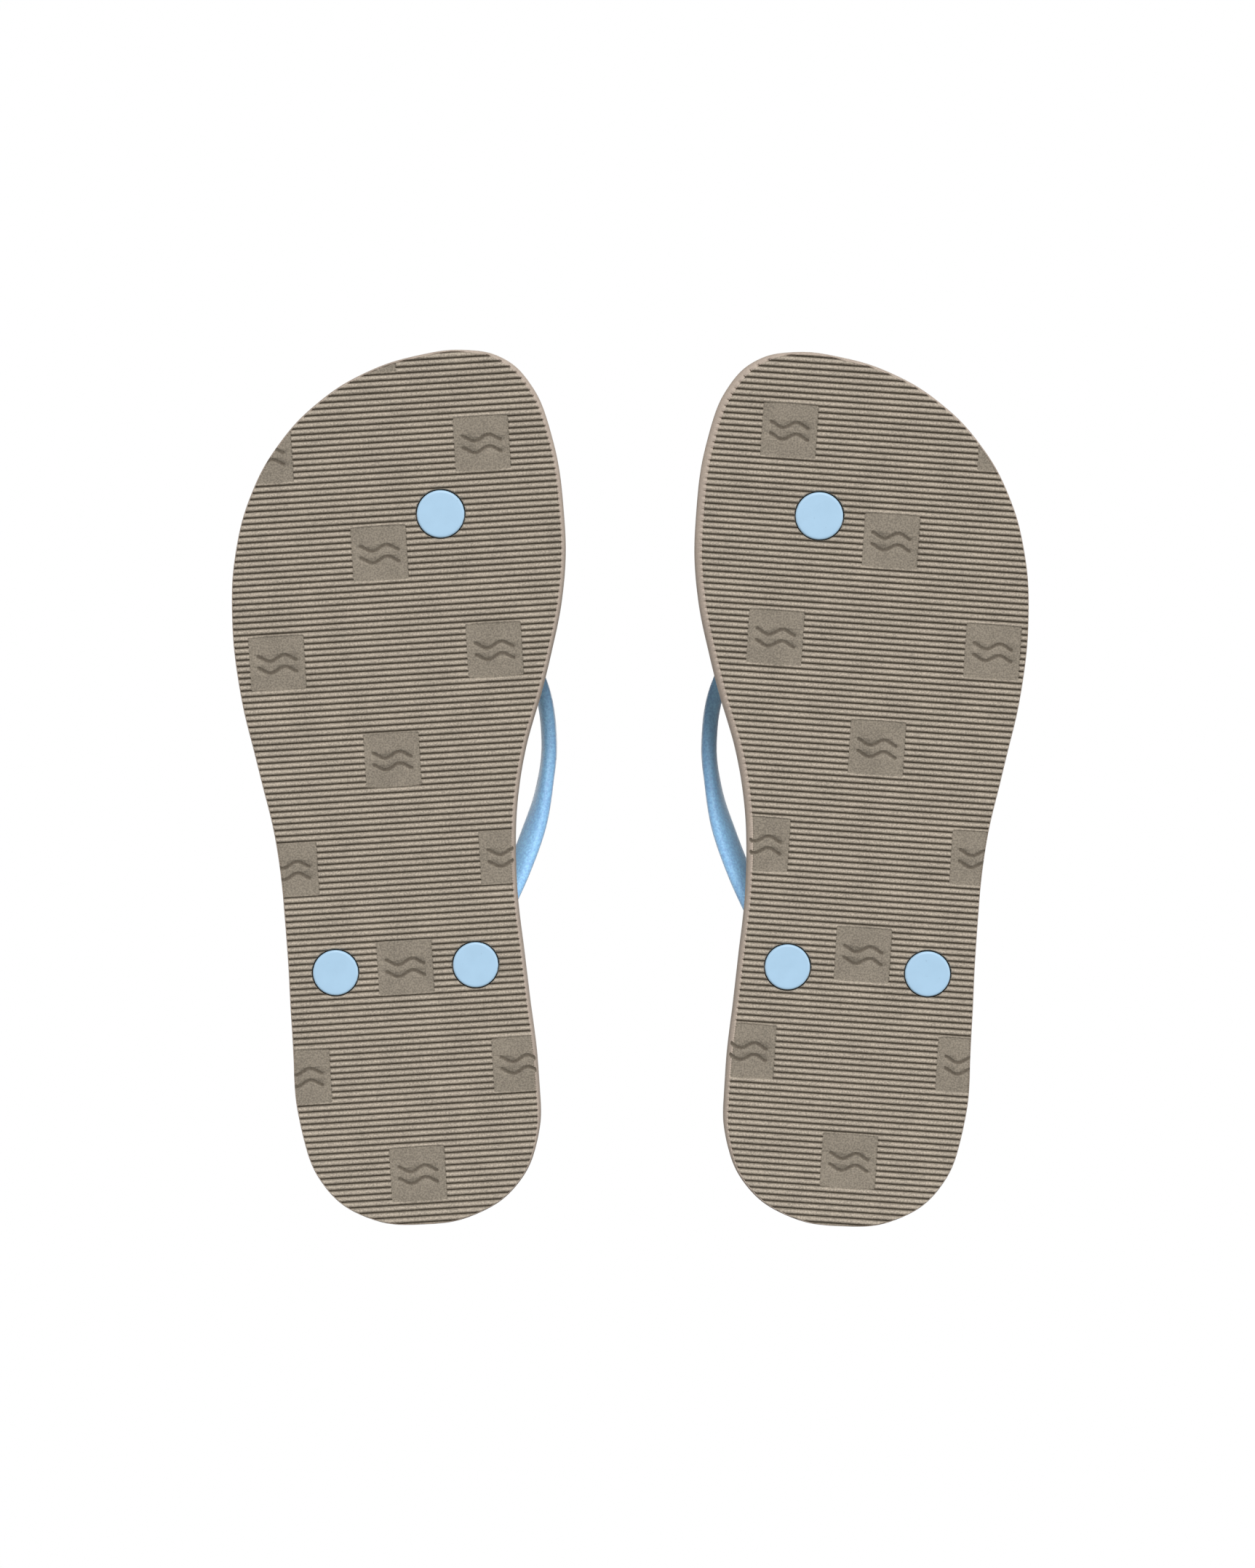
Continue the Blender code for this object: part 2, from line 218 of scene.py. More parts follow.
CHANNEL_DEPTH = 0.32
CHANNEL_EDGE = (0.6, 0.78)
CHANNEL_WIDTHS = (7.4, 8.8)
STRAP_VOXEL = 0.36 * MM
STRAP_SMOOTHING = 4
KNUCKLE_SPOT = (11.7, -76.2, 29.6)
KNUCKLE_RADII = (4.9, 3.9, 4.6)
KNUCKLE_RINGS = 16
KNUCKLE_SIDES = 24
KNUCKLE_REACH = 10.0 * MM
KNUCKLE_SMOOTHING = 90

# A plug's face stands a little below the CAD one. The dip in it is (radius, depth) from the middle outward.
PLUG_PROUD = 0.18 * MM
PLUG_DIP = ((0.02 * MM, 0.05 * MM), (0.5 * MM, 0.045 * MM), (2.0 * MM, 0.03 * MM))
PLUG_DIP_EDGE = (0.62, 0.012 * MM)
PLUG_RIM = 0.9 * MM
PLUG_ROUND = 0.6 * MM
PLUG_ROUND_STEPS = 8

# Colours are sRGB, 0 to 255.
CREST = (170, 159, 144)
# The next colour is painted shade: a darker copy of the crest colour for the sunk panels and rib flanks.
SUNK_PAINTED_SHADE = (134, 125, 112)
EDGE = (178, 164, 151)
FOOTBED = (172, 159, 143)
GROOVE_SHADE = (62, 52, 40)
STRAP_BLUE = (139, 196, 253)
PLUG_BLUE = (168, 201, 226)
FOAM_PATCH = 9 * MM
FOAM_GRAIN = 0.5 * MM
PATCH_SHARE = 0.25


# ---------------------------------------------------------------- outlines

def between(before, start, end, after, share):
    """Catmull-Rom value between start and end."""
    slope_in = (end - before) / 2
    slope_out = (after - start) / 2
    square = share * share
    cube = square * share
    return (
        start * (2 * cube - 3 * square + 1) + slope_in * (cube - 2 * square + share)
        + end * (3 * square - 2 * cube) + slope_out * (cube - square)
    )


def loop_spline(points, count):
    """A smooth closed line through the points, resampled evenly."""
    around = [np.roll(points, shift, axis=0) for shift in (1, 0, -1, -2)]
    shares = np.linspace(0, 1, OUTLINE_STEPS, endpoint=False)
    dense = np.stack([between(*around, share) for share in shares], axis=1).reshape(-1, 2)
    closed = np.vstack([dense, dense[:1]])
    travelled = np.concatenate([[0], np.cumsum(np.linalg.norm(np.diff(closed, axis=0), axis=1))])
    stops = np.linspace(0, travelled[-1], count, endpoint=False)
    return np.stack([np.interp(stops, travelled, closed[:, axis]) for axis in (0, 1)], axis=1)


def loop_normals(loop):
    """Outward unit normals of an anticlockwise loop."""
    along = np.roll(loop, -1, axis=0) - np.roll(loop, 1, axis=0)
    normals = np.stack([along[:, 1], -along[:, 0]], axis=1)
    return normals / np.linalg.norm(normals, axis=1, keepdims=True)


def node_outline(node, holes):
    """The smooth outline of a CAD sheet, anticlockwise from above, without its holes."""
    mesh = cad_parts[node].data
    spots = np.array([vertex.co for vertex in mesh.vertices])
    rim = spots[spots[:, 2] > spots[:, 2].max() - FACE_TOLERANCE][:, :2]
    rim = np.unique(np.round(rim, 6), axis=0)
    for centre, radius in holes:
        rim = rim[np.linalg.norm(rim - centre, axis=1) > radius * HOLE_MARGIN]
    middle = rim.mean(axis=0)
    order = np.argsort(np.arctan2(rim[:, 1] - middle[1], rim[:, 0] - middle[0]))
    return loop_spline(rim[order], OUTLINE_POINTS)


def plug_places(side):
    """Centre and radius of each plug, from its CAD node."""
    places = {}
    for plug in PLUGS:
        low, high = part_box(f"{side}_{plug}")
        centre = (low + high) / 2
        places[plug] = (np.array([centre.x, centre.y]), (high.x - low.x) / 2)
    return places


def inside_loop(point, loop):
    """Whether a point is inside a closed loop."""
    ahead = np.roll(loop, -1, axis=0)
    spans = (loop[:, 1] > point[1]) != (ahead[:, 1] > point[1])
    share = (point[1] - loop[spans, 1]) / (ahead[spans, 1] - loop[spans, 1])
    crossing = loop[spans, 0] + share * (ahead[spans, 0] - loop[spans, 0])
    return bool((crossing > point[0]).sum() % 2)


def turned(points, angle):
    """Points in axes turned by an angle: x along the ribs, y across them."""
    cosine, sine = math.cos(angle), math.sin(angle)
    return np.stack([
        points[:, 0] * cosine - points[:, 1] * sine,
        points[:, 0] * sine + points[:, 1] * cosine,
    ], axis=1)


# ------------------------------------------------------------- relief sheets

def smooth_step(low, high, value):
    """0 below low, 1 above high, and a soft rise between them."""
    share = np.clip((value - low) / (high - low), 0, 1)
    return share * share * (3 - 2 * share)


def distance_to_loop(points, loop):
    """Distance from each point to the nearest point of a dense loop."""
    tree = KDTree(len(loop))
    for place, spot in enumerate(loop.tolist()):
        tree.insert((*spot, 0.0), place)
    tree.balance()
    return np.array([tree.find((*spot, 0.0))[2] for spot in points.tolist()])


def without_repeats(corners):
    """The corners of a face, each only once where neighbours are the same."""
    return [corner for place, corner in enumerate(corners) if corner != corners[place - 1]]


class RowGrid:
    """Rows of points across an outline: each row runs from edge to edge of the shape."""

    def __init__(self, loop, facts, rows, columns, edge_steps):
        """The facts are numbers for each point of the loop, which the rim keeps."""
        first, last = loop[:, 1].argmin(), loop[:, 1].argmax()
        ahead = self.chain(loop, facts, first, last)
        behind = self.chain(loop[::-1], facts[::-1], len(loop) - 1 - first, len(loop) - 1 - last)
        lowest, highest = loop[first, 1], loop[last, 1]
        inside = rows[(rows > lowest + END_ROW_GAP) & (rows < highest - END_ROW_GAP)]
        self.rows = np.concatenate([[lowest], inside, [highest]])
        ends = [self.on_chain(chain, self.rows) for chain in (ahead, behind)]
        if ends[0][0][len(self.rows) // 2] > ends[1][0][len(self.rows) // 2]:
            ends.reverse()
        (self.left, self.left_facts), (self.right, self.right_facts) = ends
        steps = np.array(edge_steps)
        room = np.minimum(1.0, (self.right - self.left) / (EDGE_ROOM * steps[-1]))
        inner_left = self.left + steps[-1] * room
        inner_right = self.right - steps[-1] * room
        lines = [self.left + step * room for step in steps]
        lines += [np.clip(column, inner_left, inner_right) for column in columns]
        lines += [self.right - step * room for step in steps[::-1]]
        self.across = np.stack(lines, axis=1)

    @staticmethod
    def chain(loop, facts, start, end):
        """The stretch of the loop from one point to another."""
        count = len(loop)
        indices = [(start + step) % count for step in range((end - start) % count + 1)]
        return loop[indices], facts[indices]

    @staticmethod
    def on_chain(chain, rows):
        """Where each row meets the chain, and the facts there."""
        points, facts = chain
        order = np.maximum.accumulate(points[:, 1])
        across = np.interp(rows, order, points[:, 0])
        kept = [np.interp(rows, order, facts[:, place]) for place in range(facts.shape[1])]
        return across, np.stack(kept, axis=1)

    def points(self):
        """Flat points of the grid, and for each place in it the index of its point."""
        distinct = np.ones(self.across.shape, bool)
        distinct[:, 1:] = np.diff(self.across, axis=1) > POINT_GAP
        distinct[0, 1:] = False
        distinct[-1, 1:] = False
        index = np.cumsum(distinct.ravel()).reshape(distinct.shape) - 1
        heights = np.broadcast_to(self.rows[:, None], self.across.shape)
        flat = np.stack([self.across[distinct], heights[distinct]], axis=1)
        return flat, index

    def faces(self, index):
        """The quads and triangles between neighbouring points."""
        quads = np.stack([index[:-1, :-1], index[:-1, 1:], index[1:, 1:], index[1:, :-1]], axis=2)
        found = [without_repeats(quad) for quad in quads.reshape(-1, 4).tolist()]
        return [corners for corners in found if len(set(corners)) > 2]

    def rim(self, index):
        """The boundary in one round: point indices, and the facts of each."""
        right = [(index[row, -1], self.right_facts[row]) for row in range(len(self.rows))]
        left = [(index[row, 0], self.left_facts[row]) for row in range(len(self.rows) - 2, 0, -1)]
        places, facts = zip(*right, *left)
        return list(places), np.array(facts)


def wall_faces(inner, start, count):
    """The quads of a wall whose rings follow each other from the start, and its last ring."""
    faces = []
    for _ in range(count):
        outer = list(range(start, start + len(inner)))
        for place in range(len(inner)):
            after = (place + 1) % len(inner)
            faces.append([inner[place], inner[after], outer[after], outer[place]])
        inner = outer
        start += len(inner)
    return faces, inner


def far_faces(ring, row_count):
    """The faces that close the far side, from the right end to the left end of each row."""
    right = ring[:row_count]
    left = [right[0], *ring[row_count:][::-1], right[-1]]
    quads = zip(right, right[1:], left[1:], left)
    return [without_repeats(quad) for quad in quads]


def relief_sheet(name, loop, reach, angle, rows, columns, edge_steps, relief, wall, cap_z, looks):
    """A closed sheet: a relief on one face, a wall through the stated rings and a flat far face.

    The wall is a list of (share of the reach outward, z); relief gives z in turned axes.
    The looks are the relief's material and the wall's.
    """
    in_rows = turned(loop, angle)
    outward = loop_normals(in_rows) * np.asarray(reach)[:, None]
    grid = RowGrid(in_rows, outward, rows, columns, edge_steps)
    flat, index = grid.points()
    inner, outward = grid.rim(index)
    rim_points = flat[inner]
    levels = [np.column_stack([flat, relief(flat)])]
    for share, z in [*wall, (wall[-1][0], cap_z)]:
        levels.append(np.column_stack([rim_points + outward * share, np.full(len(inner), z)]))
    spots = np.vstack(levels)
    spots[:, :2] = turned(spots[:, :2], -angle)
    relief_faces = grid.faces(index)
    around, last = wall_faces(inner, len(flat), len(wall) + 1)
    mesh = bpy.data.meshes.new(name)
    mesh.from_pydata(spots.tolist(), [], relief_faces + around + far_faces(last, len(grid.rows)))
    edit = bmesh.new()
    edit.from_mesh(mesh)
    bmesh.ops.recalc_face_normals(edit, faces=edit.faces)
    edit.to_mesh(mesh)
    edit.free()
    for material in looks:
        mesh.materials.append(material)
    slots = np.ones(len(mesh.polygons), np.int32)
    slots[:len(relief_faces)] = 0
    mesh.polygons.foreach_set("material_index", slots)
    return add_object(name, mesh)


# ------------------------------------------------------------ mesh helpers

def add_object(name, mesh):
    """A new object in the scene."""
    obj = bpy.data.objects.new(name, mesh)
    bpy.context.scene.collection.objects.link(obj)
    return obj


def bake_modifiers(obj):
    """The object with its modifiers applied to its mesh."""
    bpy.context.view_layer.update()
    depsgraph = bpy.context.evaluated_depsgraph_get()
    mesh = bpy.data.meshes.new_from_object(obj.evaluated_get(depsgraph))
    obj.modifiers.clear()
    obj.data = mesh
    mesh.name = obj.name


def merged(name, rings_of_bodies):
    """One mesh object of several closed bodies, each a list of rings of points."""
    edit = bmesh.new()
    for rings in rings_of_bodies:
        made = [[edit.verts.new(point) for point in ring] for ring in rings]
        for ring, following in zip(made, made[1:]):
            for place in range(len(ring)):
                after = (place + 1) % len(ring)
                edit.faces.new((ring[place], ring[after], following[after], following[place]))
        edit.faces.new(made[0])
        edit.faces.new(made[-1])
    bmesh.ops.recalc_face_normals(edit, faces=edit.faces)
    mesh = bpy.data.meshes.new(name)
    edit.to_mesh(mesh)
    edit.free()
    return add_object(name, mesh)


def turned_rings(centre, profile):
    """Rings of a body turned about a vertical axis, from (radius, z) points."""
    angles = [2 * math.pi * step / TURNED_SIDES for step in range(TURNED_SIDES)]
    return [
        [Vector((centre[0] + radius * math.cos(a), centre[1] + radius * math.sin(a), z)) for a in angles]
        for radius, z in profile
    ]


def cut(obj, rings_of_bodies):
    """Cut closed bodies out of the object."""
    cutter = merged(obj.name + "_cutter", rings_of_bodies)
    boolean = obj.modifiers.new("cut", "BOOLEAN")
    boolean.operation = "DIFFERENCE"
    boolean.solver = "MANIFOLD"
    boolean.object = cutter
    bake_modifiers(obj)
    bpy.data.objects.remove(cutter, do_unlink=True)


def smooth(obj, angle):
    """Smooth shading, with edges sharper than the angle in degrees kept."""
    obj.data.shade_smooth()
    obj.data.set_sharp_from_angle(angle=math.radians(angle))


# ---------------------------------------------------------------- the tread

def panel_distance(points, origin):
    """Signed distance to the nearest panel of the staggered grid; negative inside."""
    best = np.full(len(points), 1.0)
    for shift in (0.0, 0.5):
        offset = (points - origin) / (np.array(PANEL_STEP) * 2) - shift
        nearest = (offset - np.round(offset)) * np.array(PANEL_STEP) * 2
        beyond = np.abs(nearest) - (np.array(PANEL_HALF) - PANEL_CORNER)
        outside = np.linalg.norm(np.maximum(beyond, 0), axis=1)
        inside = np.minimum(beyond.max(axis=1), 0)
        best = np.minimum(best, outside + inside - PANEL_CORNER)
    return best


def rib_height(ribs):
    """How far the face is above its crests, by the count of ribs; the grooves are at whole counts."""
    return GROOVE_DEPTH * np.abs(2 * (ribs - np.floor(ribs) - 0.5)) ** CREST_POWER


def edge_inset(side, loop):
    """How far the tread's lower edge is drawn in at each point of the outline."""
    around, inner, toe = EDGE_INSET[side]
    normals = loop_normals(loop)
    inward = np.clip(normals[:, 0] * HANDS[side], 0, 1)
    toeward = np.clip(inward * TOE_CORNER[0] - normals[:, 1] * TOE_CORNER[1], 0, 1)
    heelward = smooth_step(*HEEL_EDGE, loop[:, 1])
    inner_part = inner * inward * (1 - HEEL_INSET_LOSS * heelward)
    return around + inner_part + toe * toeward ** TOE_CORNER_POWER


def tread_columns(origin, low, high):
    """Lines across the ribs: evenly spread, and close together at the panels' edges."""
    columns = set(np.arange(low, high, COLUMN_STEP).round(6))
    for panel in range(-PANELS_ACROSS, PANELS_ACROSS + 1):
        for way in (-1, 1):
            edge = origin + panel * PANEL_STEP[0] + way * PANEL_HALF[0]
            columns = {column for column in columns if abs(column - edge) > PANEL_LINE_GAP}
            columns |= {round(edge + way * step * MM, 6) for step in PANEL_COLUMNS}
    return np.array(sorted(columns))


def tread_sheet(side, loop, plugs, looks):
    """The outsole: ribs and panels below, plug holes through it."""
    angle = RIB_TILT[side]
    low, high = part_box(f"{side}_outsole")
    toe_plug = plugs["toe_plug"][0]
    origin = turned(np.array([toe_plug + np.array(PANEL_FROM_TOE_PLUG[side])]), angle)[0]
    inset = edge_inset(side, loop)
    inner_loop = loop - loop_normals(loop) * inset[:, None]
    in_rows = turned(inner_loop, angle)
    lowest, highest = in_rows.min(axis=0), in_rows.max(axis=0)
    pitch = RIB_PITCH[side]
    start = origin[1] + RIB_START[side]
    first = math.floor((lowest[1] - start) / pitch) - 1
    last = math.ceil((highest[1] - start) / pitch) + 1
    rows = np.array([start + (rib + share) * pitch for rib in range(first, last) for share in GROOVE_ROWS])

    def relief(points):
        """The ribs and panels, seen as heights above the floor."""
        ribs = rib_height((points[:, 1] - start) / pitch)
        sunk = PANEL_DEPTH * (1 - smooth_step(0, PANEL_WALL, panel_distance(points, origin)))
        heights = (ribs ** RELIEF_BLEND + sunk ** RELIEF_BLEND) ** (1 / RELIEF_BLEND)
        heights = np.minimum(heights, np.where(sunk > PANEL_DEPTH * PANEL_FLAT, PANEL_DEPTH, GROOVE_DEPTH))
        edge = distance_to_loop(points, in_rows)
        curl = TREAD_EDGE_ROUND * (1 - smooth_step(0, TREAD_EDGE_ROUND * 2, edge)) ** 2
        return low.z + heights + curl

    wall = [(share, low.z + rise) for share, rise in EDGE_SLOPE]
    wall += [(1.0, high.z - SEAM_CHAMFER), (SEAM_SHARE, high.z)]
    tread = relief_sheet(
        f"{side}_tread", inner_loop, inset, angle, rows,
        tread_columns(origin[0], lowest[0], highest[0]), np.array(EDGE_STEPS) * MM, relief, wall, high.z,
        looks,
    )
    holes = [plug_hole(centre, radius, low.z, high.z) for centre, radius in plugs.values()]
    cut(tread, holes + panel_waves(origin, angle, in_rows, low.z + PANEL_DEPTH))
    smooth(tread, 60)
    return tread


def plug_hole(centre, radius, low, high):
    """A cutter for a plug's hole, wider at its mouth."""
    (mouth, mouth_rise), (gap, gap_rise) = PLUG_HOLE
    return turned_rings(centre, [
        (radius + mouth, low - CUTTER_OVERSHOOT), (radius + mouth, low + mouth_rise),
        (radius + gap, low + gap_rise), (radius + gap, high + CUTTER_OVERSHOOT),
    ])


def panel_waves(origin, angle, loop, floor_z):
    """Round cutters along a plain double wave in each panel that the outline reaches."""
    bodies = []
    for column in range(-PANELS_ACROSS, PANELS_ACROSS + 1):
        for row in range(-PANELS_ALONG, PANELS_ALONG + 1):
            centre = origin + np.array([column * PANEL_STEP[0], row * PANEL_STEP[1]])
            near = distance_to_loop(centre[None, :], loop)[0] < WAVE_HALF_LENGTH
            if (column + row) % 2 == 0 and (near or inside_loop(centre, loop)):
                bodies += [wave_rings(centre, line, angle, floor_z) for line in WAVE_LINES]
    return bodies


def wave_rings(centre, line, angle, floor_z):
    """Rings of one round cutter along a wave, thinner at its tips."""
    shares = np.linspace(-1, 1, WAVE_POINTS)
    route = np.stack([
        centre[0] + shares * WAVE_HALF_LENGTH,
        centre[1] + line - WAVE_HEIGHT * np.sin(shares * WAVE_TURNS * math.pi),
    ], axis=1)
    along = np.gradient(route, axis=0)
    along /= np.linalg.norm(along, axis=1, keepdims=True)
    axis_z = floor_z + WAVE_SUNK - WAVE_RADIUS
    rings = []
    for place, (point, way) in enumerate(zip(route, along)):
        from_end = min(place, WAVE_POINTS - 1 - place) / WAVE_TAPER
        radius = WAVE_RADIUS * math.sqrt(min(1.0, WAVE_TIP + from_end))
        across = np.array([-way[1], way[0]])
        ring = []
        for step in range(WAVE_SIDES):
            turn = 2 * math.pi * (step + 0.5) / WAVE_SIDES
            spot = turned((point + across * radius * math.cos(turn))[None, :], -angle)[0]
            ring.append(Vector((spot[0], spot[1], axis_z + radius * math.sin(turn))))
        rings.append(ring)
    return rings


# ----------------------------------------------------------- the foam layers

def even_lines(low, high, step):
    """Lines at whole steps between low and high, with close ones at both ends."""
    lines = np.arange(math.ceil(low / step), math.floor(high / step) + 1) * step
    ends = np.array(END_ROWS)
    return np.unique(np.concatenate([low + ends, lines, high - ends]).round(7))


def midsole_sheet(side, loop, looks):
    """The middle layer, with its faces against the tread and the footbed."""
    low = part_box(f"{side}_outsole")[1].z + LAYER_GAP
    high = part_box(f"{side}_footbed")[0].z - LAYER_GAP
    inner = loop - loop_normals(loop) * SEAM_GROOVE

    def relief(points):
        """A flat underside."""
        return np.full(len(points), low)

    wall = [(share, low + rise) for share, rise in MIDSOLE_EDGE]
    wall.append((1.0, (low + high) / 2))
    wall += [(share, high - rise) for share, rise in MIDSOLE_EDGE[::-1]]
    wall.append((0.0, high))
    turns = np.linspace(0, math.pi, SHEET_ROWS)
    toe, heel = loop[:, 1].min(), loop[:, 1].max()
    rows = (toe + heel) / 2 - (heel - toe) / 2 * np.cos(turns)
    sheet = relief_sheet(
        f"{side}_midsole_foam", inner, np.full(len(loop), SEAM_GROOVE), 0.0,
        rows, [], np.array(MIDSOLE_EDGE_STEPS) * MM, relief, wall, high, looks,
    )
    smooth(sheet, 40)
    return sheet


def grain_height(points):
    """Small raised grains, lying by turns along and across the shoe."""
    cell = points / GRAIN_PITCH
    index = np.floor(cell)
    local = np.abs(cell - index - 0.5) * GRAIN_PITCH
    along = index.sum(axis=1) % 2 == 0
    length = np.where(along, local[:, 1], local[:, 0]) / GRAIN_HALF[0]
    width = np.where(along, local[:, 0], local[:, 1]) / GRAIN_HALF[1]
    return GRAIN_HEIGHT * np.exp(-length ** 4 - width ** 4)


def footbed_sheet(side, loop, plugs, looks):
    """The top layer: rounded rim, plain border, grained foot dish, and dimples at the strap."""
    low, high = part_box(f"{side}_footbed")
    top = high.z - GRAIN_HEIGHT
    spots = [centre for centre, _ in plugs.values()]
    inner = loop - loop_normals(loop) * FOOTBED_ROUND
    (left, toe), (right, heel) = inner.min(axis=0), inner.max(axis=0)

    def relief(points):
        """The dished top with its border line, dimples and grain."""
        edge = distance_to_loop(points, inner)
        dish = FOOT_DISH * smooth_step(*DISH_RAMP, edge)
        along = (points[:, 1] - toe) / (heel - toe)
        cup = HEEL_CUP * smooth_step(*CUP_START, along) * smooth_step(*CUP_RAMP, edge)
        line = BORDER_LINE_DEPTH * np.exp(-((edge - BORDER_LINE) / BORDER_LINE_WIDTH) ** 2)
        grained = smooth_step(*GRAIN_START, edge - BORDER_LINE)
        dimple = np.zeros(len(points))
        for spot in spots:
            gap = np.maximum(np.linalg.norm(points - spot, axis=1) - STEM_RADIUS, 0)
            dimple += DIMPLE_DEPTH * np.exp(-(gap / DIMPLE_REACH) ** 2)
            grained *= smooth_step(*GRAIN_FROM_STEM, gap)
        return top - dish - cup - line - dimple + grained * grain_height(points)

    wall = []
    for step in range(1, RIM_STEPS + 1):
        turn = math.pi / 2 * step / RIM_STEPS
        wall.append((math.sin(turn), top - FOOTBED_ROUND * (1 - math.cos(turn))))
    wall += [(1.0, low.z + SEAM_CHAMFER), (SEAM_SHARE, low.z)]
    step = GRAIN_PITCH / GRAIN_STEPS
    sheet = relief_sheet(
        f"{side}_footbed_sheet", inner, np.full(len(loop), FOOTBED_ROUND), 0.0,
        even_lines(toe, heel, step), even_lines(left, right, step), np.array(FOOTBED_EDGE_STEPS) * MM,
        relief, wall, low.z, looks,
    )
    radius = STEM_RADIUS + STEM_GAP
    ends = [(radius, low.z - CUTTER_OVERSHOOT), (radius, high.z + CUTTER_OVERSHOOT)]
    cut(sheet, [turned_rings(spot, ends) for spot in spots])
    smooth(sheet, 50)
    return sheet


# ------------------------------------------------------------------ the strap

def fine_stations(stations):
    """Stations at small steps along the smooth line through the given ones."""
    rows = [Vector((x, y, z, width, thickness, *face)) for x, y, z, width, thickness, face in stations]
    padded = [rows[0] * 2 - rows[1], *rows, rows[-1] * 2 - rows[-2]]
    fine = []
    for index in range(1, len(rows)):
        for step in range(SPAN_STEPS):
            fine.append(between(*padded[index - 1:index + 3], step / SPAN_STEPS))
    fine.append(rows[-1])
    return fine


def band_ring(centre, along, station):
    """A band section: rounded edges, flat inside, and a shallow channel along the outer face."""
    face = Vector(station[5:8])
    face = (face - along * face.dot(along)).normalized()
    across = along.cross(face)
    width, thickness = station[3], station[4]
    channel = CHANNEL_DEPTH * smooth_step(*CHANNEL_WIDTHS, width)
    ring = []
    for step in range(BAND_SIDES):
        angle = 2 * math.pi * step / BAND_SIDES
        cosine, sine = math.cos(angle), math.sin(angle)
        wide = math.copysign(abs(cosine) ** (2 / BAND_SQUARENESS), cosine)
        thick = math.copysign(abs(sine) ** (2 / BAND_SQUARENESS), sine) * thickness / 2
        if sine > 0:
            thick -= channel * (1 - smooth_step(*CHANNEL_EDGE, abs(wide)))
        ring.append(centre + across * wide * width / 2 + face * thick)
    return ring


def band_rings(stations):
    """Rings of one band, with its stem straight down to its plug."""
    fine = fine_stations(stations)
    centres = [Vector(station[:3]) for station in fine]
    rings = []
    for index, station in enumerate(fine):
        before = centres[max(index - 1, 0)]
        after = centres[min(index + 1, len(centres) - 1)]
        along = (after - before).normalized()
        if index == len(fine) - 1:
            along = Vector((0.0, 0.0, -1.0))
        rings.append(band_ring(centres[index], along, station))
    down = Vector((0.0, 0.0, STEM_BOTTOM - centres[-1].z))
    rings.append([point + down for point in rings[-1]])
    return rings


def shoe_place(side, plugs):
    """Maps the shoe's own millimetres to the frame, from its toe plug and medial plug."""
    hand = HANDS[side]
    toe = np.array([TOE_HOLE[0] * hand, TOE_HOLE[1]]) * MM
    medial = np.array([MEDIAL_HOLE[0] * hand, MEDIAL_HOLE[1]]) * MM
    own = medial - toe
    real = plugs["medial_plug"][0] - plugs["toe_plug"][0]
    turn = math.atan2(real[1], real[0]) - math.atan2(own[1], own[0])
    start = plugs["toe_plug"][0] - turned(toe[None, :], -turn)[0]

    def place(point):
        spot = turned(np.array([[point.x * hand * MM, point.y * MM]]), -turn)[0] + start
        return Vector((spot[0], spot[1], point.z * MM))

    return place


def knuckle_rings():
    """A rounded body where the arms and the toe post meet."""
    rings = []
    for step in range(1, KNUCKLE_RINGS):
        turn = math.pi * step / KNUCKLE_RINGS
        ring = []
        for corner in range(KNUCKLE_SIDES):
            around = 2 * math.pi * corner / KNUCKLE_SIDES
            way = (math.sin(turn) * math.cos(around), math.sin(turn) * math.sin(around), math.cos(turn))
            offset = [share * radius for share, radius in zip(way, KNUCKLE_RADII)]
            ring.append(Vector(KNUCKLE_SPOT) + Vector(offset))
        rings.append(ring)
    return rings


def thong_strap(side, plugs):
    """Both arms and the toe post grown together into one moulding."""
    place = shoe_place(side, plugs)
    bodies = [band_rings(stations) for stations in (MEDIAL_ARM, LATERAL_ARM, TOE_POST)]
    bodies.append(knuckle_rings())
    strap = merged(
        f"{side}_thong_strap", [[[place(point) for point in ring] for ring in rings] for rings in bodies]
    )
    remesh = strap.modifiers.new("grown", "REMESH")
    remesh.mode = "VOXEL"
    remesh.voxel_size = STRAP_VOXEL
    even = strap.modifiers.new("even", "SMOOTH")
    even.iterations = STRAP_SMOOTHING
    bake_modifiers(strap)
    knuckle = place(Vector(KNUCKLE_SPOT))
    group = strap.vertex_groups.new(name="knuckle")
    for vertex in strap.data.vertices:
        weight = 1 - (vertex.co - knuckle).length / KNUCKLE_REACH
        if weight > 0:
            group.add([vertex.index], min(1.0, weight * 2), "REPLACE")
    blend = strap.modifiers.new("blend", "SMOOTH")
    blend.iterations = KNUCKLE_SMOOTHING
    blend.vertex_group = group.name
    bake_modifiers(strap)
    strap.vertex_groups.clear()
    strap.data.shade_smooth()
    return strap


# ------------------------------------------------------------------ the plugs

def plug_disc(side, plug, centre, radius):
    """A turned plug: a flat face with a soft rim and a shallow moulding dip in its middle."""
    low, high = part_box(f"{side}_{plug}")
    face = low.z - PLUG_PROUD
    profile = [(reach, face + depth) for reach, depth in PLUG_DIP]
    profile += [(radius * PLUG_DIP_EDGE[0], face + PLUG_DIP_EDGE[1]), (radius - PLUG_RIM, face)]
    for step in range(1, PLUG_ROUND_STEPS + 1):
        turn = math.pi / 2 * step / PLUG_ROUND_STEPS
        profile.append((
            radius - PLUG_ROUND * (1 - math.sin(turn)),
            face + PLUG_ROUND * (1 - math.cos(turn)),
        ))
    profile += [(radius, high.z), (PLUG_DIP[0][0], high.z)]
    disc = merged(f"{side}_{plug}_disc", [turned_rings(centre, profile)])
    smooth(disc, 40)
    return disc


# ------------------------------------------------------------------ materials

